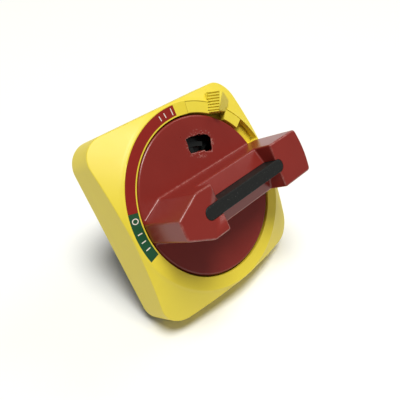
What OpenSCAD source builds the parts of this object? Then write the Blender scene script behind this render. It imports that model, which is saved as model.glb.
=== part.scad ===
// Door-mounted operating handle of a rotary isolator: a square escutcheon with a raised ring,
// a turning disc with a moulded handle, a pull-out padlock bar and an interlock release slide.
// Z = 0 is the plane that meets the door, +Z points at the operator, +Y is up on the door.
// Angles named "clock" are degrees clockwise from 12 o'clock, as the operator sees them.

/* [Escutcheon] */
// Side of the square escutcheon
plate_w = 65; // [60:0.5:70]
// Radius of its vertical corners
plate_corner_r = 8; // [6:0.5:10]
// Height of the raised ring above the door
ring_z = 16.2; // [15:0.1:18]
// Radius of the raised ring
ring_r = 32.2; // [31:0.1:32.4]
// Height of the sloping face at the plate's corners
corner_z = 10.8; // [9:0.1:13]
// Thickness of the moulded walls
wall = 2.2; // [1.6:0.1:2.6]
// Radius of the well that the disc turns in
well_r = 27.5; // [27.3:0.1:28]

/* [Handle] */
// Radius of the turning disc
disc_r = 27.1; // [26:0.1:27.2]
// Height of the handle's end blocks above the door
handle_z = 35.2; // [30:0.1:38]
// Height of the waist at its outer edges
waist_edge_z = 27.9; // [24:0.1:29]
// Height of the waist beside the padlock bar
waist_ridge_z = 29.8; // [25:0.1:31]
// Half the width of the handle
handle_half_w = 7.5; // [6:0.1:9]
// Distance from the axis to the pointer's tip
pointer_x = 27.3; // [25:0.1:28]
// Distance from the axis to the blunt end
tail_x = 30.3; // [27:0.1:31]

/* [Padlock bar] */
// Thickness of the bar
bar_w = 4.1; // [3.5:0.1:5]
// Length of the bar
bar_len = 36.3; // [34:0.1:38]
// How far the bar pulls out
bar_lift = 9.5; // [6:0.5:9.5]
// Width and height of each shackle opening
shackle = 8.4; // [6:0.1:8.4]

/* [Release slide] */
// Clock angle of the slide's first end
slide_from = 13; // [13:0.5:15]
// Clock angle of the slide's last end
slide_to = 58.3; // [57:0.1:58.3]
// How far the slide travels, in degrees
slide_travel = 17; // [10:1:17]
// Outer radius of the slide's track
track_r = 31.6; // [31:0.1:31.6]
// Height of the thumb grip above the ring
grip_rise = 4.1; // [3:0.1:6]

/* [Rear] */
// Radius of the neck that passes through the door
neck_r = 10.5; // [10:0.1:10.5]
// Depth of the neck behind the door face
neck_depth = 10; // [6:0.5:14]
// Depth of the shaft coupling behind the door face
coupling_depth = 32; // [26:1:36]
// Across-flats size of the shaft socket
socket_w = 6.2; // [6.1:0.05:6.4]
// Spacing of the four fixing inserts
fixing_pitch = 48; // [46:0.5:50]

/* [Hidden] */
$fn = 64;
eps = 0.01;

yellow = "#E6CF3E";
red = "#8C2F28";
legend_red = "#92282A";
legend_green = "#1F5A36";
black = "#262826";
steel = "#B8BBBE";
brass = "#B5984A";
rubber = "#1C1C1C";

// Escutcheon
half_w = plate_w / 2;
crown_r = ring_r + 0.9;       // foot of the blend from the ring to the sloping corners
crown_z = ring_z - 1.2;
corner_r = (half_w - plate_corner_r) * sqrt(2) + plate_corner_r;
floor_z = 7.5;                // top of the well's floor
floor_h = 2.5;
floor_low_z = floor_z - floor_h;
rim_h = 3;                    // height of the thick rear rim
rim_w = 3;
well_wall_r = well_r + 2.4;
track_z = ring_z - 3;         // floor of the slide's track
track_from = 12.6;
track_to = slide_to + slide_travel + 0.4;
bed_h = 1.8;                  // thickness under the track
legend_in_r = 28;
legend_depth = 0.25;
legend_low = 255.5;           // clock angles of the legend's three edges
legend_split = 285.3;
legend_high = 363.1;
boss_r = 3.5;
insert_r = 2.3;
insert_bore_r = 1.65;
insert_h = 8;
insert_z = 0.2;
gasket_w = 1.5;
gasket_h = 1.2;
gasket_edge = 0.7;            // plastic left outside the gasket's groove
collar_r = 12;                // collar under the floor that the interlock ring turns on
collar_z = 1.7;
neck_gap = 0.08;
post_r = 2.4;                 // posts that the rear cover is screwed to
post_at = 23;
post_clocks = [100, 220, 340];
cover_z = 0.3;
cover_h = 1.2;
cover_r = 27;
cover_hole_r = 13.2;
cover_screw_r = 1;

// Disc and handle
disc_z = ring_z - 0.2;
web_h = 2;
web_z = disc_z - web_h;
skirt_z = 12.3;
skirt_w = 2;
rim_round = 0.9;
pointer_half_w = 3.2;
pointer_shoulder_x = 18.3;
pointer_back_x = 11.9;
tail_front_x = 15.9;
tail_corner_r = 1.3;
ring_clear_z = ring_z + 0.4;
skin = 2;                     // wall of the handle's hollow moulding
waist_ceiling_z = waist_edge_z - skin;
bar_gap = 0.15;
window = [[1, 19.8], [7.2, 19], [10.2, 17.4], [10.8, 15.6], [9, 12], [7, 12.8], [6.2, 13.6], [0.5, 14.8]];

// Hub carrier
flange_r = 27;
flange_z = floor_z + 0.3;
flange_top_z = skirt_z - 0.2;
cheek_x = [-3.5, 7.4];        // guide cheeks beside the padlock bar
cheek_w = 2.4;
cheek_top_z = 24.5;
hub_screw_at = 20;
hub_screw_r = 1.2;
hub_clocks = [45, 135, 225, 315];
hub_rib_r = 17.5;
clip_z = 0.4;
clip_h = 0.9;
clip_groove_r = 9.6;
clip_out_r = 12.4;
seal_z = 6.2;
seal_r = 0.62;
seal_at = neck_r + neck_gap - seal_r - 0.03;
coupling_r = 7.45;
coupling_top_z = 2.8;
socket_depth = 18;
grub_z = -26;
grub_r = 1.9;
spring_pin_r = 1.25;
spring_pin_z = -7.2;

// Detent
ball_r = 1.6;
ball_z = 10;
ball_at = 26.5;
detent_clocks = [20, 110];
groove_r = 28.3;
groove_h = 3.6;
groove_span = [14, 206];
notch_r = 1.9;
notch_h = 3.2;
notch_clocks = [20, 110, 200];
detent_hole_from = 19.5;

// Padlock bar and lock bolt
bar_top_z = handle_z + 0.1;
bar_low_z = 12.5;
opening_h = 8.6;
opening_top_z = waist_ridge_z - 0.4;
opening_mid_x = (tail_front_x - pointer_back_x) / 2;
opening_pitch = shackle + 0.9;
tab_x = [-7.6, 11.4];         // feet that the return springs push on
tab_half_w = 4.8;
tab_len = 4.4;
tab_h = 1.5;
spring_y = 3.6;               // return springs stand beside the bar
spring_r = 0.95;
bar_spring_wire = 0.2;
bolt_stroke = bar_lift / 5;
bolt_pin_x = -13.2;
bolt_pin_z = 24;
bolt_pin_r = 0.9;
bolt_z = [8.4, 11.4];
bolt_half_w = 2.5;
bolt_tip_x = 26.9;
bolt_post_w = 2.4;
bolt_post_y = bar_w / 2 + 0.4;
bolt_gap = 0.2;
bolt_clocks = [0, 270];       // slots in the well that the bolt enters

// Release slide and interlock ring
slide_gap = 0.15;
grip_from = 30.7;             // foot of the ribbed face
grip_ridge = 35.2;
grip_to = 46.3;
grip_in_r = 28.1;
grip_out_r = 35.2;
ridge_drop = 0.25;            // height taken off the sharp ridge, which leaves a narrow flat
rib_count = 7;
rib_depth = 0.45;
scoop = [[31.2, 25], [31.2, 27.6], [35.2, 28.3], [45, 30.5], [46.2, 25]]; // clock angle, radius
pocket_clocks = [29, 46.4];   // pocket in the track's floor beside the scoop
pocket_floor = 0.95;          // plastic left under the pocket
stem_clock = 21;
stem_half_deg = 1.2;
stem_r = [30.3, 31.2];
stem_low_z = 2;
slot_r = [30.1, 31.4];
lock_ring_z = 1.8;
lock_ring_h = 1.8;
lock_ring_in_r = collar_r + 0.06;
lock_ring_out_r = 14.8;
lock_arm_r = 30.9;
lug_clock = 165;
lug_r = 19;
release_spring_r = 1.1;
release_spring_wire = 0.2;
release_spring_z = 3.1;

// Helpers

function on_clock(c, r) = [r * sin(c), r * cos(c)];

function crown(drop) = [
    [0, -1], [0, ring_z - drop], [ring_r - 0.5, ring_z - drop], [ring_r, ring_z - 0.4 - drop],
    [crown_r, crown_z - drop],
    [corner_r + 2, corner_z - 2 * (crown_z - corner_z) / (corner_r - crown_r) - drop],
    [corner_r + 2, -1]
];

module at_clock(c, r, z = 0) {
    translate([r * sin(c), r * cos(c), z]) rotate([0, 0, -c]) children();
}

module sector(r_in, r_out, from, to, z_low, z_high) {
    rotate([0, 0, 90 - to])
        rotate_extrude(angle = to - from)
            translate([r_in, z_low]) square([r_out - r_in, z_high - z_low]);
}

module rod(r, z_low, z_high) {
    translate([0, 0, z_low]) cylinder(r = r, h = z_high - z_low);
}

module tube(r_in, r_out, z_low, z_high) {
    difference() {
        rod(r_out, z_low, z_high);
        rod(r_in, z_low - 1, z_high + 1);
    }
}

module block(x, y, z) {
    translate([x[0], y[0], z[0]]) cube([x[1] - x[0], y[1] - y[0], z[1] - z[0]]);
}

module rounded_prism(w, r, z_low, z_high) {
    inner = w / 2 - r;
    block([-w / 2, w / 2], [-inner, inner], [z_low, z_high]);
    block([-inner, inner], [-w / 2, w / 2], [z_low, z_high]);
    for (x = [-inner, inner], y = [-inner, inner])
        translate([x, y, 0]) rod(r, z_low, z_high);
}

// A flat bar with round ends along X
module stadium(length, w, z_low, z_high) {
    straight = (length - w) / 2;
    block([-straight, straight], [-w / 2, w / 2], [z_low, z_high]);
    for (x = [-straight, straight])
        translate([x, 0, 0]) rod(w / 2, z_low, z_high);
}

module at_fixings() {
    for (x = [-1, 1], y = [-1, 1])
        translate([x * fixing_pitch / 2, y * fixing_pitch / 2, 0]) children();
}

// A round wire coil standing on z = 0
module coil(r, wire, length, turns) {
    steps = turns * 12;
    sides = 6;
    points = [
        for (i = [0:steps], k = [0:sides - 1])
            let (a = 30 * i, t = -360 * k / sides, q = r + wire * cos(t))
                [q * cos(a), q * sin(a), wire + (length - 2 * wire) * i / steps + wire * sin(t)]
    ];
    side_faces = [
        for (i = [0:steps - 1], k = [0:sides - 1], half = [0, 1])
            let (a = i * sides + k, b = i * sides + (k + 1) % sides)
                half == 0 ? [a, b, b + sides] : [a, b + sides, a + sides]
    ];
    first = [for (k = [sides - 1:-1:0]) k];
    last = [for (k = [0:sides - 1]) steps * sides + k];
    polyhedron(points, concat([first], side_faces, [last]));
}

// Escutcheon group

module plate_solid() {
    intersection() {
        rounded_prism(plate_w, plate_corner_r, 0, ring_z + 1);
        rotate_extrude() polygon(crown(0));
    }
}

module plate_hollow() {
    intersection() {
        rounded_prism(plate_w - 2 * wall, plate_corner_r - wall, -1, ring_z + 1);
        rotate_extrude() polygon(crown(wall));
    }
}

module rear_rim() {
    difference() {
        rounded_prism(plate_w - wall, plate_corner_r - wall / 2, 0, rim_h);
        rounded_prism(plate_w - 2 * rim_w, plate_corner_r - rim_w, -1, rim_h + 1);
    }
}

module gasket_loop(gap, z_low, z_high) {
    outer = plate_w - 2 * (gasket_edge - gap);
    inner = plate_w - 2 * (gasket_edge + gasket_w + gap);
    difference() {
        rounded_prism(outer, plate_corner_r - gasket_edge, z_low, z_high);
        rounded_prism(inner, plate_corner_r - gasket_edge - gasket_w, z_low - 1, z_high + 1);
    }
}

module escutcheon() color(yellow) difference() {
    intersection() {
        plate_solid();
        union() {
            difference() {
                rounded_prism(plate_w, plate_corner_r, 0, ring_z + 1);
                plate_hollow();
            }
            rear_rim();
            tube(well_r, well_wall_r, floor_low_z, ring_z);
            rod(well_wall_r, floor_low_z, floor_z);
            rod(collar_r, collar_z, floor_low_z + eps);
            sector(well_r, track_r + 2, track_from - 3, track_to + 3, track_z - bed_h, track_z);
            at_fixings() rod(boss_r, 0, crown_z - wall);
            for (c = post_clocks) at_clock(c, post_at) rod(post_r, cover_z + cover_h, floor_low_z + eps);
        }
    }
    rod(well_r, floor_z, ring_z + 1);
    rod(neck_r + neck_gap, -1, floor_z + 1);
    sector(well_r - 1, track_r, track_from, track_to, track_z, ring_z + 1);
    sector(slot_r[0], slot_r[1], stem_clock - 1.8, stem_clock + slide_travel + 1.8,
        track_z - bed_h - 1, track_z + 1);
    sector(well_r - 1, slot_r[1] - 0.2, pocket_clocks[0], pocket_clocks[1],
        track_z - bed_h + pocket_floor, track_z + 1);
    sector(legend_in_r, track_r, legend_low, legend_high, ring_z - legend_depth, ring_z + 1);
    gasket_loop(0.05, -1, gasket_h);
    at_fixings() rod(insert_r, -1, insert_z + insert_h);
    for (c = post_clocks) at_clock(c, post_at) rod(cover_screw_r, 0, floor_z - 0.9);
    sector(well_r - 1, groove_r, groove_span[0], groove_span[1],
        ball_z - groove_h / 2, ball_z + groove_h / 2);
    for (c = notch_clocks) at_clock(c, well_r - 0.5)
        rod(notch_r, ball_z - notch_h / 2, ball_z + notch_h / 2);
    for (c = bolt_clocks) at_clock(c, well_r - 1)
        block([-bolt_half_w - bolt_gap, bolt_half_w + bolt_gap], [0, well_wall_r - well_r + 2],
            [bolt_z[0] - bolt_gap, bolt_z[1] + bolt_gap]);
}

// An inlay a hair smaller than its recess
module legend_inlay(from, to)
    sector(legend_in_r + 0.02, track_r - 0.02, from + 0.04, to - 0.04,
        ring_z - legend_depth + 0.01, ring_z);

module legend_on() color(legend_red)
    legend_inlay(legend_split + 0.02, legend_high);

module legend_off() color(legend_green)
    legend_inlay(legend_low, legend_split - 0.02);

module panel_gasket() color(rubber)
    gasket_loop(0, 0, gasket_h);

module fixing_inserts() color(brass)
    at_fixings() tube(insert_bore_r, insert_r, insert_z, insert_z + insert_h);

module rear_cover() color(black) difference() {
    rod(cover_r, cover_z, cover_z + cover_h);
    rod(cover_hole_r, -1, 3);
    for (c = post_clocks) at_clock(c, post_at) rod(cover_screw_r + 0.15, -1, 3);
    // Corner reliefs around the fixing bosses
    at_fixings() rod(boss_r + 3.8, -1, 3);
}

module cover_screws() color(steel)
    for (c = post_clocks) at_clock(c, post_at) {
        rod(cover_screw_r - 0.03, cover_z - 0.2, floor_z - 1.4);
        rod(1.9, cover_z - 0.3, cover_z);
    }

// Release slide group

module grip_wedge() {
    peak_z = ring_z + grip_rise;
    low_z = track_z + slide_gap + 0.6;
    mean_r = (grip_in_r + grip_out_r) / 2;
    foot = on_clock(grip_to, grip_in_r);
    slope = atan2(grip_rise, (grip_to - grip_ridge) * PI / 180 * mean_r);
    face_run = (grip_ridge - grip_from) * PI / 180 * mean_r;
    lean = atan2(face_run, grip_rise);
    difference() {
        sector(grip_in_r, grip_out_r, grip_from, grip_to, low_z, peak_z - ridge_drop);
        // Back slope
        translate([foot[0], foot[1], ring_z - 0.3])
            rotate([0, 0, -grip_to])
                rotate([0, slope, 0])
                    block([-30, 10], [-10, 20], [0, 20]);
        difference() {
            rotate_extrude() polygon(crown(-0.25));
            rod(track_r - slide_gap - 0.2, -2, ring_z + 2);
        }
        // Leaning face and its ribs
        at_clock(grip_from, grip_in_r, ring_z - 0.1) rotate([0, lean, 0]) {
            block([-12, 0], [-2, 12], [-6, 12]);
            for (i = [0:rib_count - 1])
                translate([0, (i + 0.5) * (grip_out_r - grip_in_r) / rib_count, 0])
                    block([-rib_depth, rib_depth], [-0.27, 0.27], [-5, grip_rise / cos(lean) - 0.7]);
        }
    }
}

module release_slide() color(yellow) {
    difference() {
        union() {
            sector(well_r + slide_gap, track_r - slide_gap, slide_from, slide_to,
                track_z + slide_gap, ring_z);
            grip_wedge();
        }
        translate([0, 0, track_z - 1]) linear_extrude(grip_rise + 6)
            polygon([for (p = scoop) on_clock(p[0], p[1])]);
    }
    sector(stem_r[0], stem_r[1], stem_clock - stem_half_deg, stem_clock + stem_half_deg,
        stem_low_z, track_z + slide_gap + eps);
}

module interlock_ring() color(black) difference() {
    union() {
        rod(lock_ring_out_r, lock_ring_z, lock_ring_z + lock_ring_h);
        sector(lock_ring_out_r - 1, lock_arm_r, stem_clock - 2.4, stem_clock + 2.2,
            lock_ring_z, lock_ring_z + lock_ring_h);
        sector(lock_ring_out_r - 1, lug_r + 1.4, lug_clock - 5, lug_clock + 5,
            lock_ring_z, lock_ring_z + lock_ring_h);
    }
    rod(lock_ring_in_r, 0, 5);
    sector(stem_r[0] - 0.15, stem_r[1] + 1, stem_clock - stem_half_deg - 0.3,
        stem_clock + stem_half_deg + 0.3, 0, 5);
}

module release_spring() color(steel) {
    anchor = on_clock(post_clocks[0], post_at);
    lug = on_clock(lug_clock, lug_r);
    run = lug - anchor;
    gap = post_r + 0.6;
    length = norm(run) - gap - 2.6;
    translate([anchor[0], anchor[1], release_spring_z])
        rotate([0, 0, atan2(run[1], run[0])])
            rotate([0, 90, 0])
                translate([0, 0, gap])
                    coil(release_spring_r, release_spring_wire, length, 14);
}

// Turning group

module pointer_outline(inset) {
    s = inset * 0.55;
    polygon([
        [-pointer_back_x - inset, handle_half_w - inset],
        [-pointer_shoulder_x - s * 0.4, handle_half_w - inset],
        [-pointer_x + inset, pointer_half_w - s],
        [-pointer_x + inset, -pointer_half_w + s],
        [-pointer_shoulder_x - s * 0.4, -handle_half_w + inset],
        [-pointer_back_x - inset, -handle_half_w + inset]
    ]);
}

// Straight sides, rounded corners and an end concentric with the shaft
module tail_outline() {
    corner_y = handle_half_w - tail_corner_r;
    corner_x = sqrt(pow(tail_x - tail_corner_r, 2) - pow(corner_y, 2));
    end_half = atan2(corner_y, corner_x);
    polygon(concat(
        [[tail_front_x, handle_half_w], [tail_front_x, -handle_half_w]],
        [for (i = [0:5]) let (a = -90 + (90 - end_half) * i / 6)
            [corner_x + tail_corner_r * cos(a), -corner_y + tail_corner_r * sin(a)]],
        [for (i = [0:8]) let (a = end_half * (i / 4 - 1)) [tail_x * cos(a), tail_x * sin(a)]],
        [for (i = [1:6]) let (a = end_half + (90 - end_half) * i / 6)
            [corner_x + tail_corner_r * cos(a), corner_y + tail_corner_r * sin(a)]]
    ));
}

module handle_solid() {
    translate([0, 0, web_z]) linear_extrude(handle_z - web_z) pointer_outline(0);
    translate([0, 0, web_z]) linear_extrude(handle_z - web_z) tail_outline();
    translate([-pointer_back_x - 1, 0, 0])
        rotate([90, 0, 90])
            linear_extrude(pointer_back_x + tail_front_x + 2)
                polygon([
                    [-handle_half_w, web_z], [handle_half_w, web_z], [handle_half_w, waist_edge_z],
                    [bar_w / 2, waist_ridge_z], [-bar_w / 2, waist_ridge_z], [-handle_half_w, waist_edge_z]
                ]);
}

module handle_hollow() {
    low = skirt_z;
    inner_w = handle_half_w - skin;
    difference() {
        union() {
            translate([0, 0, low]) linear_extrude(handle_z - skin - low) pointer_outline(skin);
            block([tail_front_x + skin, tail_x - skin], [-inner_w, inner_w], [low, handle_z - skin]);
        }
        tube(disc_r - skirt_w, disc_r + 9, low - 1, ring_clear_z + skin);
    }
    block([-pointer_back_x - skin - 1, tail_front_x + skin + 1], [-inner_w, inner_w],
        [low, waist_ceiling_z]);
}

module handle_disc() color(red) difference() {
    union() {
        difference() {
            rotate_extrude() polygon([
                [0, web_z], [disc_r - skirt_w, web_z], [disc_r - skirt_w, skirt_z], [disc_r, skirt_z],
                [disc_r, disc_z - rim_round], [disc_r - 0.27, disc_z - 0.27],
                [disc_r - rim_round, disc_z], [0, disc_z]
            ]);
            translate([0, 0, web_z - 1]) linear_extrude(web_h + 2) polygon(window);
        }
        for (c = hub_clocks) at_clock(c, hub_screw_at) rod(2.6, skirt_z, web_z + eps);
        difference() {
            handle_solid();
            tube(disc_r, disc_r + 9, web_z - 1, ring_clear_z);
        }
    }
    handle_hollow();
    stadium(bar_len + 2 * bar_gap, bar_w + 2 * bar_gap, waist_ceiling_z - 1, handle_z + 1);
    for (c = hub_clocks) at_clock(c, hub_screw_at) rod(hub_screw_r, skirt_z - 1, disc_z - 0.9);
}

module hub_carrier() color(black) difference() {
    union() {
        rod(flange_r, flange_z, flange_top_z);
        rod(neck_r, -neck_depth, flange_z + eps);
        for (s = [-1, 1])
            block(cheek_x, s > 0 ? [2.3, 2.3 + cheek_w] : [-2.3 - cheek_w, -2.3],
                [flange_top_z - eps, cheek_top_z]);
        // Stiffening ribs on the flange, beside the handle
        for (s = [-1, 1]) {
            sector(hub_rib_r - 0.8, hub_rib_r + 0.8, 90 - 90 * s - 28, 90 - 90 * s + 28,
                flange_top_z - eps, web_z - 0.3);
            block([2.6, 4], s > 0 ? [10, 24] : [-24, -10], [flange_top_z - eps, web_z - 0.6]);
        }
    }
    rod(coupling_r + 0.02, -neck_depth - 1, coupling_top_z + 0.1);
    tube(clip_groove_r, neck_r + 1, clip_z - 0.05, clip_z + clip_h + 0.05);
    tube(seal_at - seal_r - 0.02, neck_r + 1, seal_z - seal_r - 0.05, seal_z + seal_r + 0.05);
    for (c = hub_clocks) at_clock(c, hub_screw_at) {
        rod(hub_screw_r + 0.15, 0, 20);
        rod(2.5, flange_z - 1, flange_z + 1.6);
    }
    for (c = detent_clocks) rotate([0, 0, 90 - c]) translate([detent_hole_from, 0, ball_z])
        rotate([0, 90, 0]) cylinder(r = ball_r + 0.05, h = 10);
    // Channel for the lock bolt and its post
    block([-30, bolt_pin_x + 1.5 + bolt_gap], [-bolt_half_w - bolt_gap, bolt_half_w + bolt_gap],
        [bolt_z[0] - bolt_gap, 20]);
    block([bolt_pin_x - bolt_stroke - 1.5, bolt_pin_x + 1.5 + bolt_gap],
        [0, bolt_post_y + bolt_post_w + bolt_gap], [bolt_z[0] - bolt_gap, 20]);
    rotate([0, 90, 0]) translate([-spring_pin_z, 0, -20]) cylinder(r = spring_pin_r + 0.02, h = 40);
}

module hub_screws() color(steel)
    for (c = hub_clocks) at_clock(c, hub_screw_at) {
        rod(hub_screw_r - 0.05, flange_z + 0.4, disc_z - 1.2);
        rod(2.3, flange_z + 0.3, flange_z + 1.55);
    }

module padlock_bar() color(black) difference() {
    union() {
        stadium(bar_len, bar_w, bar_low_z, bar_top_z);
        for (x = tab_x)
            block([x - tab_len / 2, x + tab_len / 2], [-tab_half_w, tab_half_w],
                [bar_low_z, bar_low_z + tab_h]);
    }
    for (i = [-1:1])
        translate([opening_mid_x + i * opening_pitch, 0, opening_top_z - opening_h / 2])
            block([-shackle / 2, shackle / 2], [-5, 5], [-opening_h / 2, opening_h / 2]);
    // Slanted slot that draws the lock bolt outward as the bar rises
    drop = bar_lift + 0.2;
    shift = -bolt_stroke * drop / bar_lift;
    slant = atan2(-shift, drop);
    rotate([90, 0, 0])
        translate([bolt_pin_x, bolt_pin_z, -5]) {
            cylinder(r = bolt_pin_r + 0.1, h = 10);
            translate([shift, -drop, 0]) cylinder(r = bolt_pin_r + 0.1, h = 10);
            rotate([0, 0, -slant])
                block([-bolt_pin_r - 0.08, bolt_pin_r + 0.08], [-norm([drop, shift]), 0], [0, 10]);
        }
}

module return_spring(x) color(steel)
    for (y = [-spring_y, spring_y])
        translate([x, y, bar_low_z + tab_h])
            coil(spring_r, bar_spring_wire, waist_ceiling_z - bar_low_z - tab_h, 5);

module bar_spring_left() return_spring(tab_x[0]);

module bar_spring_right() return_spring(tab_x[1]);

module lock_bolt() color(steel) {
    post_x = [bolt_pin_x - 1.2, bolt_pin_x + 1.2];
    post_y = [bolt_post_y, bolt_post_y + bolt_post_w];
    block([-bolt_tip_x, post_x[1]], [-bolt_half_w, bolt_half_w], bolt_z);
    block(post_x, [0, post_y[1]], bolt_z);
    block(post_x, post_y, [bolt_z[0], bolt_pin_z + 1.3]);
    translate([bolt_pin_x, post_y[0] + 0.5, bolt_pin_z])
        rotate([90, 0, 0]) cylinder(r = bolt_pin_r, h = bar_w + 0.6);
}

module detent_balls() color(steel)
    for (c = detent_clocks) at_clock(c, ball_at, ball_z) sphere(r = ball_r);

module detent_springs() color(steel)
    for (c = detent_clocks)
        rotate([0, 0, 90 - c])
            translate([detent_hole_from, 0, ball_z])
                rotate([0, 90, 0])
                    coil(1.2, 0.2, ball_at - ball_r - detent_hole_from + 0.2, 5);

module shaft_seal() color(rubber)
    rotate_extrude() translate([seal_at, seal_z]) circle(r = seal_r, $fn = 32);

module wave_washer() color(steel)
    tube(neck_r + 0.2, collar_r, clip_z + clip_h + 0.02, collar_z - 0.05);

module retaining_ring() color(steel)
    rotate([0, 0, 20])
        rotate_extrude(angle = 320)
            translate([clip_groove_r + 0.02, clip_z])
                square([clip_out_r - clip_groove_r, clip_h]);

module shaft_coupling() color(steel) difference() {
    rod(coupling_r, -coupling_depth, coupling_top_z);
    block([-socket_w / 2, socket_w / 2], [-socket_w / 2, socket_w / 2],
        [-coupling_depth - 1, -coupling_depth + socket_depth]);
    translate([0, 0, grub_z]) rotate([-90, 0, 0]) cylinder(r = grub_r, h = 20);
    rotate([0, 90, 0]) translate([-spring_pin_z, 0, -20]) cylinder(r = spring_pin_r + 0.02, h = 40);
}

module coupling_pin() color(steel)
    rotate([0, 90, 0]) translate([-spring_pin_z, 0, 0.2 - neck_r])
        cylinder(r = spring_pin_r, h = 2 * neck_r - 0.4);

module coupling_screw() color(black)
    translate([0, 3.4, grub_z]) rotate([-90, 0, 0]) difference() {
        cylinder(r = grub_r - 0.03, h = 3.8);
        translate([0, 0, 2]) cylinder(r = 1.15, h = 3, $fn = 6);
    }

escutcheon();
legend_on();
legend_off();
panel_gasket();
fixing_inserts();
rear_cover();
cover_screws();
release_slide();
interlock_ring();
release_spring();
handle_disc();
hub_carrier();
hub_screws();
padlock_bar();
bar_spring_left();
bar_spring_right();
lock_bolt();
detent_balls();
detent_springs();
shaft_seal();
wave_washer();
retaining_ring();
shaft_coupling();
coupling_pin();
coupling_screw();
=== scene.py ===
import random
from math import atan2, degrees, hypot, radians

import bmesh
import bpy
from mathutils import Matrix, Vector


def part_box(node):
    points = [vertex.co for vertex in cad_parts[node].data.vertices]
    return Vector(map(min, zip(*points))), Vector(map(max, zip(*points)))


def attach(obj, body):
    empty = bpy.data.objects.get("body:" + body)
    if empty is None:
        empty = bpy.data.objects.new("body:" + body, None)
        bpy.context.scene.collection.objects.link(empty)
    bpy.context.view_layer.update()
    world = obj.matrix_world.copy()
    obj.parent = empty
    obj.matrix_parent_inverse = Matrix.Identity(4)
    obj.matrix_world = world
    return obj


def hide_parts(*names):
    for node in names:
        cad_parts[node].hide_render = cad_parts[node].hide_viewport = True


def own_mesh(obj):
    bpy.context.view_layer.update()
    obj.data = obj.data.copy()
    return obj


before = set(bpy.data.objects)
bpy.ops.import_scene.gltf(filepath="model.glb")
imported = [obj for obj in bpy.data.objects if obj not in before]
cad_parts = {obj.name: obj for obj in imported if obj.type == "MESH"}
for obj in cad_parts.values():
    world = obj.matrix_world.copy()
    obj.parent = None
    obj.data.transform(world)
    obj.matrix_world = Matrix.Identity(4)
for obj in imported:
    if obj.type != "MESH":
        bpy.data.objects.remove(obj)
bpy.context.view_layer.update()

mm = 0.001  # the pieces' sizes below are in millimetres
print("frame loaded:", len(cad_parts), "nodes")


# Small helpers

def linear(code):
    # an sRGB hex colour as linear red, green, blue and a full alpha
    parts = [int(code[i:i + 2], 16) / 255 for i in (1, 3, 5)]
    parts = [v / 12.92 if v <= 0.04045 else ((v + 0.055) / 1.055) ** 2.4 for v in parts]
    return (*parts, 1.0)


def addNode(tree, kind, settings=None, links=None, stops=()):
    # settings fill properties and sockets, links join sockets, stops are a colour ramp's places and greys
    node = tree.nodes.new(kind)
    for key, value in (settings or {}).items():
        if isinstance(key, str) and hasattr(node, key):
            setattr(node, key, value)
        else:
            node.inputs[key].default_value = value
    for key, source in (links or {}).items():
        tree.links.new(source, node.inputs[key])
    if stops:
        band = node.color_ramp.elements
        while len(band) < len(stops):
            band.new(0.5)
        for element, (place, grey) in zip(band, stops):
            element.position = place
            element.color = (grey, grey, grey, 1)
    return node


def newMaterial(name):
    material = bpy.data.materials.new(name)
    material.use_nodes = True
    tree = material.node_tree
    tree.nodes.clear()
    output = addNode(tree, "ShaderNodeOutputMaterial")
    return material, tree, output


def colourAndGloss(tree, look, pattern):
    # colour and roughness both drift a little with one slow pattern
    tint = addNode(tree, "ShaderNodeMix",
                   {"data_type": "RGBA", 6: linear(look["shade"]), 7: linear(look["body"])},
                   {0: pattern}).outputs[2]
    low, high = look["roughness"]
    gloss = addNode(tree, "ShaderNodeMapRange", {"To Min": low, "To Max": high},
                    {"Value": pattern}).outputs[0]
    return tint, gloss


# Materials

# ABS from a satin mould: a soft, broad sheen on a slightly clouded yellow
yellowMoulding = {
    "body": "#E9D43C", "shade": "#E1CA34", "wornAndHighlight": "#EFE38C", "roughness": (0.40, 0.52),
    "grain": 0.28, "bump": 0.2, "ior": 1.53, "seed": 0.0,
}
# The same ABS from an eroded mould: the slide hardly shines
yellowSlide = dict(yellowMoulding, body="#EBD840", shade="#E4CF38", roughness=(0.55, 0.68), seed=4.0)
# Polyamide from a polished mould: clear, deep reflections, paler where it is rubbed or crazed; the same pale
# colour also paints a highlight along the handle's foot and top edges
redMoulding = {
    "body": "#872A22", "shade": "#7D251E", "wornAndHighlight": "#B57C73", "roughness": (0.25, 0.34),
    "grain": 0.5, "bump": 0.12, "ior": 1.5, "seed": 9.0,
    "crazed": {"centre": (5.7, 16.2, 16.0), "reach": (5.5, 4.2, 3.0)},
}
# Glass-filled nylon: a dull black with pale dust in its texture
blackMoulding = {
    "body": "#0C0D0C", "shade": "#121412", "wornAndHighlight": "#6A6B66", "roughness": (0.52, 0.66),
    "grain": 0.3, "bump": 0.2, "ior": 1.42, "seed": 14.0, "dust": 0.55,
}
# Acetal from a polished mould: black with small bright glints
glossyBlack = dict(blackMoulding, body="#161817", shade="#1D201F", roughness=(0.14, 0.24), bump=0.08,
                   ior=1.52, seed=17.0, dust=0.25)
# Moulded nitrile rubber: matt, with no clear reflection
blackRubber = {
    "body": "#161616", "shade": "#1E1E1E", "wornAndHighlight": "#303030", "roughness": (0.75, 0.88),
    "grain": 0.2, "bump": 0.32, "ior": 1.5, "seed": 21.0,
}
# Pattern sizes shared by the plastics. Grain, specks and motes are drawn coarser than the real ones to show
plastic = {
    "cloud": 9, "depth": 0.05, "edgePatchSize": 1.6, "speck": 0.8, "mote": 0.32,
    "hairline": (14, 0.22, 5), "hairlineTurn": (0.4, 0.7, 0.9), "hairlineDull": 0.12,
    "crazedFade": 1.25, "crazedPale": 0.9,
}


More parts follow.
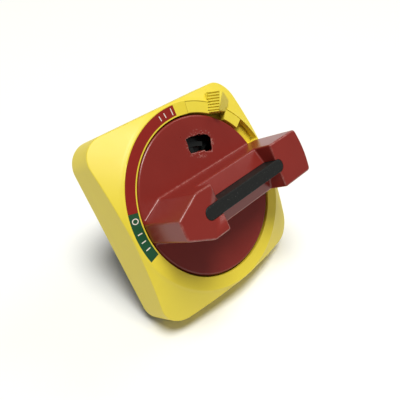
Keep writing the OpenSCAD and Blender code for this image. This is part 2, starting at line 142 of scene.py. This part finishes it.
def mouldedPlastic(name, look):
    # Injection-moulded plastic: faint clouds, an eroded grain that softens the gloss,
    # rubbed edges, a painted highlight along some edges and a few hairline scratches
    material, tree, output = newMaterial(name)
    place = addNode(tree, "ShaderNodeTexCoord").outputs["Object"]
    shifted = addNode(tree, "ShaderNodeVectorMath", {"operation": "ADD", 1: (look["seed"],) * 3},
                      {0: place}).outputs[0]
    cloud = addNode(tree, "ShaderNodeTexNoise",
                    {"Scale": 1 / (plastic["cloud"] * mm), "Detail": 4.0, "Roughness": 0.6},
                    {"Vector": shifted}).outputs["Fac"]
    grain = addNode(tree, "ShaderNodeTexNoise", {"Scale": 1 / (look["grain"] * mm), "Detail": 2.0},
                    {"Vector": shifted}).outputs["Fac"]
    tint, gloss = colourAndGloss(tree, look, cloud)

    # hairlines: noise stretched along one turned direction and cut to thin lines
    turned = addNode(tree, "ShaderNodeMapping",
                     {"Rotation": plastic["hairlineTurn"],
                      "Scale": tuple(1 / (size * mm) for size in plastic["hairline"])},
                     {"Vector": shifted}).outputs[0]
    lines = addNode(tree, "ShaderNodeTexNoise", {"Scale": 1.0, "Detail": 1.0},
                    {"Vector": turned}).outputs["Fac"]
    scratches = addNode(tree, "ShaderNodeValToRGB", links={"Fac": lines},
                        stops=[(0.0, 0.0), (0.70, 0.0), (0.78, 1.0)]).outputs["Color"]
    gloss = addNode(tree, "ShaderNodeMath", {"operation": "MULTIPLY_ADD", 1: plastic["hairlineDull"]},
                    {0: scratches, 2: gloss}).outputs[0]

    # rubbed edges and painted edge highlights, in broken patches
    edge = addNode(tree, "ShaderNodeAttribute", {"attribute_name": "edgeWearAndHighlight"}).outputs["Fac"]
    edgePatches = addNode(tree, "ShaderNodeTexNoise",
                     {"Scale": 1 / (plastic["edgePatchSize"] * mm), "Detail": 5.0, "Roughness": 0.7},
                     {"Vector": shifted}).outputs["Fac"]
    edgePatches = addNode(tree, "ShaderNodeValToRGB", links={"Fac": edgePatches},
                     stops=[(0.0, 0.12), (0.48, 0.2), (0.62, 1.0)]).outputs["Color"]
    pale = addNode(tree, "ShaderNodeMath", {"operation": "MULTIPLY"}, {0: edge, 1: edgePatches}).outputs[0]

    if "crazed" in look:
        # whitened specks of stress round the place where the wall snapped out
        centre, reach = (tuple(v * mm for v in look["crazed"][key]) for key in ("centre", "reach"))
        offset = addNode(tree, "ShaderNodeVectorMath", {"operation": "SUBTRACT", 1: centre},
                         {0: place}).outputs[0]
        scaled = addNode(tree, "ShaderNodeVectorMath", {"operation": "DIVIDE", 1: reach},
                         {0: offset}).outputs[0]
        away = addNode(tree, "ShaderNodeVectorMath", {"operation": "LENGTH"}, {0: scaled}).outputs["Value"]
        near = addNode(tree, "ShaderNodeMapRange",
                       {"From Min": 1.0, "From Max": plastic["crazedFade"],
                        "To Min": plastic["crazedPale"], "To Max": 0.0},
                       {"Value": away}).outputs[0]
        specks = addNode(tree, "ShaderNodeTexNoise",
                         {"Scale": 1 / (plastic["speck"] * mm), "Detail": 3.0, "Roughness": 0.7},
                         {"Vector": shifted}).outputs["Fac"]
        specks = addNode(tree, "ShaderNodeValToRGB", links={"Fac": specks},
                         stops=[(0.0, 0.0), (0.56, 0.0), (0.6, 1.0)]).outputs["Color"]
        specks = addNode(tree, "ShaderNodeMath", {"operation": "MULTIPLY"}, {0: near, 1: specks}).outputs[0]
        pale = addNode(tree, "ShaderNodeMath", {"operation": "MAXIMUM"}, {0: pale, 1: specks}).outputs[0]

    if "dust" in look:
        # fine pale dust caught in the texture
        motes = addNode(tree, "ShaderNodeTexNoise", {"Scale": 1 / (plastic["mote"] * mm), "Detail": 2.0},
                        {"Vector": shifted}).outputs["Fac"]
        motes = addNode(tree, "ShaderNodeValToRGB", links={"Fac": motes},
                        stops=[(0.0, 0.0), (0.66, 0.0), (0.74, look["dust"])]).outputs["Color"]
        pale = addNode(tree, "ShaderNodeMath", {"operation": "MAXIMUM"}, {0: pale, 1: motes}).outputs[0]

    # lay the pale colour over rubbed wear, stress specks and dust, and over the painted highlight on the
    # handle's foot and top edges
    tint = addNode(tree, "ShaderNodeMix", {"data_type": "RGBA", 7: linear(look["wornAndHighlight"])},
                   {0: pale, 6: tint}).outputs[2]
    bump = addNode(tree, "ShaderNodeBump", {"Strength": look["bump"], "Distance": plastic["depth"] * mm},
                   {"Height": grain}).outputs[0]
    shader = addNode(tree, "ShaderNodeBsdfPrincipled", {"IOR": look["ior"]},
                     {"Base Color": tint, "Roughness": gloss, "Normal": bump}).outputs[0]
    tree.links.new(shader, output.inputs["Surface"])
    return material


# Zinc-plated steel: a cool grey, bright with duller clouds
zincPlate = {"body": "#C9CBCE", "shade": "#A9ACB0", "roughness": (0.28, 0.42)}
# Turned brass: a warm yellow that has dulled a little
turnedBrass = {"body": "#C8A85A", "shade": "#A98B45", "roughness": (0.25, 0.38)}
metal = {"cloud": 3, "mark": (4, 4, 0.15), "depth": 0.02, "bump": 0.25}


def metalFinish(name, look):
    # Plated or turned metal: fine turning marks round the part and clouds of duller surface
    material, tree, output = newMaterial(name)
    place = addNode(tree, "ShaderNodeTexCoord").outputs["Object"]
    cloud = addNode(tree, "ShaderNodeTexNoise", {"Scale": 1 / (metal["cloud"] * mm), "Detail": 4.0},
                    {"Vector": place}).outputs["Fac"]
    stretched = addNode(tree, "ShaderNodeMapping",
                        {"Scale": tuple(1 / (size * mm) for size in metal["mark"])},
                        {"Vector": place}).outputs[0]
    marks = addNode(tree, "ShaderNodeTexNoise", {"Scale": 1.0, "Detail": 2.0},
                    {"Vector": stretched}).outputs["Fac"]
    tint, gloss = colourAndGloss(tree, look, cloud)
    bump = addNode(tree, "ShaderNodeBump", {"Strength": metal["bump"], "Distance": metal["depth"] * mm},
                   {"Height": marks}).outputs[0]
    shader = addNode(tree, "ShaderNodeBsdfPrincipled", {"Metallic": 1.0},
                     {"Base Color": tint, "Roughness": gloss, "Normal": bump}).outputs[0]
    tree.links.new(shader, output.inputs["Surface"])
    return material


# Hot-stamped foils: flat, even colours with a slight shine
foilRed = {"body": "#901B12", "shade": "#851910", "roughness": (0.36, 0.46)}
foilGreen = {"body": "#165030", "shade": "#13472B", "roughness": (0.36, 0.46)}
foilWhite = {"body": "#EDE3D6", "shade": "#E0D4C6", "roughness": (0.4, 0.5)}
foil = {"cloud": 6, "peel": 0.6, "depth": 0.03, "bump": 0.12, "ior": 1.5}


def printedFoil(name, look):
    # Foil stamped on plastic: even colour and a faint orange peel
    material, tree, output = newMaterial(name)
    place = addNode(tree, "ShaderNodeTexCoord").outputs["Object"]
    cloud = addNode(tree, "ShaderNodeTexNoise",
                    {"Scale": 1 / (foil["cloud"] * mm), "Detail": 5.0, "Roughness": 0.65},
                    {"Vector": place}).outputs["Fac"]
    peel = addNode(tree, "ShaderNodeTexNoise", {"Scale": 1 / (foil["peel"] * mm), "Detail": 1.0},
                   {"Vector": place}).outputs["Fac"]
    tint, gloss = colourAndGloss(tree, look, cloud)
    bump = addNode(tree, "ShaderNodeBump", {"Strength": foil["bump"], "Distance": foil["depth"] * mm},
                   {"Height": peel}).outputs[0]
    shader = addNode(tree, "ShaderNodeBsdfPrincipled", {"IOR": foil["ior"]},
                     {"Base Color": tint, "Roughness": gloss, "Normal": bump}).outputs[0]
    tree.links.new(shader, output.inputs["Surface"])
    return material


finishes = {
    "yellow": mouldedPlastic("yellow moulded ABS", yellowMoulding),
    "slide": mouldedPlastic("yellow moulded ABS slide", yellowSlide),
    "red": mouldedPlastic("red glossy polyamide", redMoulding),
    "black": mouldedPlastic("black glass-filled nylon", blackMoulding),
    "gloss": mouldedPlastic("glossy black acetal", glossyBlack),
    "rubber": mouldedPlastic("black nitrile rubber", blackRubber),
    "steel": metalFinish("zinc-plated steel", zincPlate),
    "brass": metalFinish("turned brass", turnedBrass),
    "foilRed": printedFoil("red printed foil", foilRed),
    "foilGreen": printedFoil("green printed foil", foilGreen),
    "foilWhite": printedFoil("white printed marks", foilWhite),
}
print("materials made:", len(finishes))


# Pieces

# Corners nearer than merge become one, and so do faces that fold by less than flat degrees
copying = {"merge": 0.0001, "flat": 0.6}


def copyOf(nodeName):
    # a closed copy of a frame node, with its flat faces whole again so that edges can be bevelled
    solid = bmesh.new()
    solid.from_mesh(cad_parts[nodeName].data)
    bmesh.ops.remove_doubles(solid, verts=solid.verts, dist=copying["merge"] * mm)
    bmesh.ops.dissolve_limit(solid, angle_limit=radians(copying["flat"]),
                             verts=solid.verts, edges=solid.edges)
    # per-corner paleness of the bevels: rubbed wear, and on the handle also a painted highlight
    solid.loops.layers.float.new("edgeWearAndHighlight")
    return solid


def roundEdges(solid, width, segments, wanted, wearAndHighlightAt=lambda height: 0.0, sharper=22):
    # rounds each edge that folds by more than sharper degrees and that wanted(x, y, z) accepts,
    # and stores on the new faces how pale they are painted at their height, as rubbed wear and, on the
    # handle, as a painted highlight
    picked = []
    for edge in solid.edges:
        if edge.is_manifold and edge.calc_face_angle(0) > radians(sharper):
            middle = (edge.verts[0].co + edge.verts[1].co) / 2 / mm
            if wanted(*middle):
                picked.append(edge)
    made = bmesh.ops.bevel(solid, geom=picked, offset=width * mm, offset_type="OFFSET", affect="EDGES",
                           segments=segments, profile=0.5, material=-1, clamp_overlap=False, loop_slide=True)
    layer = solid.loops.layers.float["edgeWearAndHighlight"]
    for face in made["faces"]:
        edgePaleness = wearAndHighlightAt(face.calc_center_median().z / mm)
        for corner in face.loops:
            corner[layer] = edgePaleness


def finishPiece(solid, name, finish, body, replaces=(), fold=35):
    # an edge that folds by more than fold degrees stays sharp in the shading
    mesh = bpy.data.meshes.new(name)
    bmesh.ops.recalc_face_normals(solid, faces=solid.faces)
    for face in solid.faces:
        face.smooth = True
    solid.to_mesh(mesh)
    solid.free()
    mesh.set_sharp_from_angle(angle=radians(fold))
    mesh.materials.append(finishes[finish])
    piece = bpy.data.objects.new(name, mesh)
    bpy.context.scene.collection.objects.link(piece)
    even = piece.modifiers.new("even shading", "WEIGHTED_NORMAL")
    even.keep_sharp = True
    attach(piece, body)
    if replaces:
        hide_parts(*replaces)
    return piece


def makeReturnSpring(node):
    piece = finishPiece(copyOf(node), node + "Coil", "steel", "handle", [node])
    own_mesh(piece)


# Escutcheon: its outer edges are rounded from wallTop up, and the inner edge of its raised ring
escutcheon = {
    "edge": 0.27, "edgeSegments": 4, "corner": 8, "cornerSlack": 0.1, "wallTop": 9,
    "ring": 0.12, "ringSegments": 3, "ringRadius": 27.5, "near": 0.05,
}


def makeEscutcheon():
    solid = copyOf("escutcheon")
    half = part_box("escutcheon")[1][0] / mm
    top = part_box("escutcheon")[1][2] / mm
    near, corner, slack = (escutcheon[key] for key in ("near", "corner", "cornerSlack"))

    def outerEdge(x, y, z):
        # where the sloping face meets the side walls
        straight = max(abs(x), abs(y)) > half - near
        onCorner = hypot(abs(x) - half + corner, abs(y) - half + corner) > corner - slack
        atCorner = onCorner and min(abs(x), abs(y)) > half - corner - slack
        return z > escutcheon["wallTop"] and (straight or atCorner)

    def ringEdge(x, y, z):
        return abs(z - top) < near and abs(hypot(x, y) - escutcheon["ringRadius"]) < near

    roundEdges(solid, escutcheon["edge"], escutcheon["edgeSegments"], outerEdge)
    roundEdges(solid, escutcheon["ring"], escutcheon["ringSegments"], ringEdge)
    finishPiece(solid, "escutcheonMoulding", "yellow", "housing", ["escutcheon"])


# Handle: the pointed end is towards -x and the bar's slot runs along x
handle = {
    "edge": 0.6, "edgeSegments": 4, "fold": 50, "near": 0.1,
    "discFace": 16.0, "discRadius": 26.0, "aboveRim": 0.3,
    "slot": {"halfLength": 18.6, "halfWidth": 2.4, "above": 20},
    "hollow": {"from": -26.4, "to": 27.5, "halfWidth": 5.6, "below": 33.5},
    "blocks": (-11.9, 15.9),  # where the two end blocks face the waist
    "tipFoot": {"beyond": -23.5, "halfWidth": 9, "below": 16.7},
    # pale paint on the top edges is partly rubbed wear and partly a painted highlight; on the foot fillet it
    # is a painted highlight only
    "topWearAndHighlight": 0.35, "topAbove": 34.2, "footHighlight": 0.3, "footBelow": 17,
}
# The broken window in the disc
window = {
    "low": (0.2, 11.5), "high": (11.2, 20.2), "cuts": 4, "stray": 0.2, "seed": 11,
    "undercut": 1.3, "undercutBeyond": 8.6, "undercutBelow": 15,
    "lip": 0.3, "lipSegments": 2, "lipWear": 1.0,
}


def inWindow(x, y, z):
    (left, front), (right, rear) = window["low"], window["high"]
    return left < x < right and front < y < rear and z < handle["discFace"] + handle["near"]


def snapOutWindow(solid):
    # the hole where a piece of the disc has snapped out: a ragged outline through the web
    outline = [edge for edge in solid.edges if all(inWindow(*(v.co / mm)) for v in edge.verts)
               and abs(edge.verts[0].co.z - edge.verts[1].co.z) < handle["near"] * mm]
    bmesh.ops.subdivide_edges(solid, edges=outline, cuts=window["cuts"], use_grid_fill=True)
    chance = random.Random(window["seed"])
    points = [v for v in solid.verts if inWindow(*(v.co / mm))]
    for point in sorted(points, key=lambda v: tuple(round(c, 7) for c in v.co)):
        point.co.x += chance.uniform(-1, 1) * window["stray"] * mm
        point.co.y += chance.uniform(-1, 1) * window["stray"] * mm
        if point.co.x > window["undercutBeyond"] * mm and point.co.z < window["undercutBelow"] * mm:
            point.co.x += window["undercut"] * mm


def makeHandle():
    solid = copyOf("handle_disc")
    discFace = handle["discFace"] - handle["near"]
    slot, hollow, foot = handle["slot"], handle["hollow"], handle["tipFoot"]

    def lipEdge(x, y, z):
        return z > discFace and inWindow(x, y, z)

    def inSlot(x, y, z):
        # the bar's slot and the hollow under it keep their own edges
        if abs(y) < slot["halfWidth"] and abs(x) < slot["halfLength"] and z > slot["above"]:
            return True
        atBlock = any(abs(x - block) < handle["near"] for block in handle["blocks"])
        inHollow = abs(y) < hollow["halfWidth"] and hollow["from"] < x < hollow["to"] and z < hollow["below"]
        return inHollow and not atBlock

    def atTipFoot(x, y, z):
        # the narrow strip under the pointer's tip has no room for a bevel
        return x < foot["beyond"] and abs(y) < foot["halfWidth"] and z < foot["below"]

    def handleEdge(x, y, z):
        if z < discFace or inWindow(x, y, z) or inSlot(x, y, z) or atTipFoot(x, y, z):
            return False
        onRim = hypot(x, y) >= handle["discRadius"] - handle["near"]
        return not onRim or z > handle["discFace"] + handle["aboveRim"]

    def handleWearAndHighlight(height):
        # the top edges of the grip are painted pale, partly as rubbed wear and partly as a painted
        # highlight; the foot fillet is painted pale only as a painted highlight
        if height > handle["topAbove"]:
            return handle["topWearAndHighlight"]
        return handle["footHighlight"] if height < handle["footBelow"] else 0.0

    snapOutWindow(solid)
    roundEdges(solid, window["lip"], window["lipSegments"], lipEdge, lambda height: window["lipWear"])
    roundEdges(solid, handle["edge"], handle["edgeSegments"], handleEdge, handleWearAndHighlight)
    finishPiece(solid, "handleMoulding", "red", "handle", ["handle_disc"],
                fold=handle["fold"])


# Padlock bar: only its showing top edge is rounded
bar = {"edge": 0.25, "segments": 3, "above": 33}


def makeBar():
    solid = copyOf("padlock_bar")
    roundEdges(solid, bar["edge"], bar["segments"], lambda x, y, z: z > bar["above"])
    finishPiece(solid, "padlockBar", "black", "bar", ["padlock_bar"])


# Release slide: the ribbed face of its grip, between two clock angles, keeps its crisp grooves
slide = {
    "edge": 0.15, "segments": 3, "sharper": 30, "above": 16,
    "ribClocks": (30.5, 35.0), "ribHeights": (16.3, 19.9),
}


def makeSlide():
    solid = copyOf("release_slide")

    def slideEdge(x, y, z):
        clock = degrees(atan2(x, y))
        ribbed = (slide["ribClocks"][0] < clock < slide["ribClocks"][1]
                  and slide["ribHeights"][0] < z < slide["ribHeights"][1])
        return z > slide["above"] and not ribbed

    roundEdges(solid, slide["edge"], slide["segments"], slideEdge, sharper=slide["sharper"])
    finishPiece(solid, "releaseSlide", "slide", "release", ["release_slide"])


# The two state marks, a line and a circle, and plain ticks after each, at their clock angles on the ring
marks = {
    "radius": 29.75, "tall": 2.3, "stroke": 0.32, "tick": 1.7, "proud": 0.03,
    "line": 0.5, "onTicks": (354.6, 350.4),
    "circle": 280.7, "circleSquash": 0.82, "circleSides": 40, "offTicks": (272.8, 267.7, 262.6),
}


def placeOnRing(solid, verts, clock, base):
    turn = Matrix.Rotation(-radians(clock), 4, "Z")
    bmesh.ops.transform(solid, verts=verts, matrix=Matrix.Translation((0, 0, base)) @ turn
                        @ Matrix.Translation((0, marks["radius"] * mm, 0)))


def printStroke(solid, clock, tall, base):
    stroke = bmesh.ops.create_cube(solid, size=1.0)["verts"]
    bmesh.ops.scale(solid, verts=stroke, vec=(marks["stroke"] * mm, tall * mm, 2 * marks["proud"] * mm))
    placeOnRing(solid, stroke, clock, base)


def printCircle(solid, clock, base):
    rings = []
    for radius in (marks["tall"] / 2, marks["tall"] / 2 - marks["stroke"]):
        rings += bmesh.ops.create_circle(solid, segments=marks["circleSides"], radius=radius * mm)["verts"]
    loops = list(dict.fromkeys(edge for point in rings for edge in point.link_edges))
    flat = bmesh.ops.bridge_loops(solid, edges=loops)["faces"]
    raised = bmesh.ops.extrude_face_region(solid, geom=flat)["geom"]
    top = [item for item in raised if isinstance(item, bmesh.types.BMVert)]
    bmesh.ops.translate(solid, verts=rings, vec=(0, 0, -marks["proud"] * mm))
    bmesh.ops.translate(solid, verts=top, vec=(0, 0, marks["proud"] * mm))
    bmesh.ops.scale(solid, verts=rings + top, vec=(marks["circleSquash"], 1, 1))
    placeOnRing(solid, rings + top, clock, base)


def printMarks(name, node, strokes, circle=None):
    # strokes are pairs of clock angle and height
    solid = bmesh.new()
    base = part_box(node)[1][2]
    for clock, tall in strokes:
        printStroke(solid, clock, tall, base)
    if circle is not None:
        printCircle(solid, circle, base)
    finishPiece(solid, name, "foilWhite", "housing")


makeReturnSpring("bar_spring_left")
makeReturnSpring("bar_spring_right")
makeEscutcheon()
makeHandle()
makeBar()
makeSlide()
printMarks("onMarks", "legend_on",
           [(marks["line"], marks["tall"])] + [(clock, marks["tick"]) for clock in marks["onTicks"]])
printMarks("offMarks", "legend_off",
           [(clock, marks["tick"]) for clock in marks["offTicks"]], marks["circle"])
print("visible mouldings made")

# The frame nodes that keep their own meshes, by finish
nodeFinishes = {
    "foilRed": ["legend_on"],
    "foilGreen": ["legend_off"],
    "rubber": ["panel_gasket", "shaft_seal"],
    "brass": ["fixing_inserts"],
    "black": ["rear_cover", "interlock_ring", "coupling_screw"],
    "gloss": ["hub_carrier"],
    "steel": ["cover_screws", "release_spring", "hub_screws", "lock_bolt", "detent_balls", "detent_springs",
              "wave_washer", "retaining_ring", "shaft_coupling", "coupling_pin"],
}
for finish, nodeNames in nodeFinishes.items():
    for nodeName in nodeNames:
        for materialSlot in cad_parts[nodeName].material_slots:
            materialSlot.material = finishes[finish]
print("frame nodes finished:", sum(len(nodeNames) for nodeNames in nodeFinishes.values()))


# Camera, floor and light, with their places and sizes in metres

camera = {
    "place": (-0.09624, 0.03514, 0.14565),
    "right": (0.68743, -0.41470, 0.59620),
    "up": (0.45931, 0.88416, 0.08541),
    "back": (-0.56256, 0.21513, 0.79828),
    "lens": 44.354, "sensor": 36, "shift": (0.0043, 0.0005), "nearest": 0.01,
}


def makeCamera():
    lens = bpy.data.cameras.new("camera")
    lens.sensor_width = camera["sensor"]
    lens.lens = camera["lens"]
    lens.shift_x, lens.shift_y = camera["shift"]
    lens.clip_start = camera["nearest"]
    view = bpy.data.objects.new("camera", lens)
    columns = Matrix((camera["right"], camera["up"], camera["back"])).transposed()
    view.matrix_world = Matrix.Translation(camera["place"]) @ columns.to_4x4()
    bpy.context.scene.collection.objects.link(view)
    bpy.context.scene.camera = view


# The unit leans on its lower rear edge and on the end of its shaft coupling
floor = {"normal": (0.0, 0.7872, 0.6167), "half": 1.6, "colour": "#F0F0ED", "roughness": 0.85}


def facing(direction):
    # a turn that points the local z axis along a direction
    return Vector(direction).to_track_quat("Z", "Y").to_matrix().to_4x4()


def makeFloor():
    # a pale, matt table top, clear from below so that a low camera still sees the unit's back
    material, tree, output = newMaterial("pale floor")
    plain = addNode(tree, "ShaderNodeBsdfPrincipled",
                    {"Base Color": linear(floor["colour"]), "Roughness": floor["roughness"]}).outputs[0]
    clear = addNode(tree, "ShaderNodeBsdfTransparent").outputs[0]
    below = addNode(tree, "ShaderNodeNewGeometry").outputs["Backfacing"]
    mixed = addNode(tree, "ShaderNodeMixShader", links={0: below, 1: plain, 2: clear}).outputs[0]
    tree.links.new(mixed, output.inputs["Surface"])
    lowerEdge = (0.0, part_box("escutcheon")[0][1], 0.0)
    sheet = bmesh.new()
    bmesh.ops.create_grid(sheet, x_segments=1, y_segments=1, size=floor["half"],
                          matrix=Matrix.Translation(lowerEdge) @ facing(floor["normal"]))
    mesh = bpy.data.meshes.new("floor")
    sheet.to_mesh(mesh)
    sheet.free()
    mesh.materials.append(material)
    ground = bpy.data.objects.new("floor", mesh)
    bpy.context.scene.collection.objects.link(ground)


# The overhead light makes the soft shadow, the other two lift the shaded walls
lights = {
    "overhead": {"toward": (-0.09, 0.72, 0.69), "distance": 1.8, "size": 0.85,
                 "power": 34.5, "colour": "#FFFFFC"},
    "side": {"toward": (0.72, 0.52, 0.46), "distance": 1.8, "size": 0.8,
             "power": 5.5, "colour": "#FFFCF6"},
    "behind": {"toward": (0.1, -0.25, -0.96), "distance": 1.5, "size": 0.9,
               "power": 16, "colour": "#FFFFFF"},
}
sky = {"colour": "#FBFDFF", "strength": 0.165}


def makeLights():
    for name, light in lights.items():
        lamp = bpy.data.lights.new(name, "AREA")
        lamp.shape = "DISK"
        lamp.size = light["size"]
        lamp.energy = light["power"]
        lamp.color = linear(light["colour"])[:3]
        holder = bpy.data.objects.new(name, lamp)
        toward = Vector(light["toward"]).normalized()
        holder.matrix_world = Matrix.Translation(toward * light["distance"]) @ facing(toward)
        bpy.context.scene.collection.objects.link(holder)
    world = bpy.data.worlds.new("soft room")
    world.use_nodes = True
    glow = world.node_tree.nodes["Background"]
    glow.inputs["Color"].default_value = linear(sky["colour"])
    glow.inputs["Strength"].default_value = sky["strength"]
    bpy.context.scene.world = world
    bpy.context.scene.view_settings.view_transform = "Standard"


makeCamera()
makeFloor()
makeLights()
print("camera, floor and lights made")
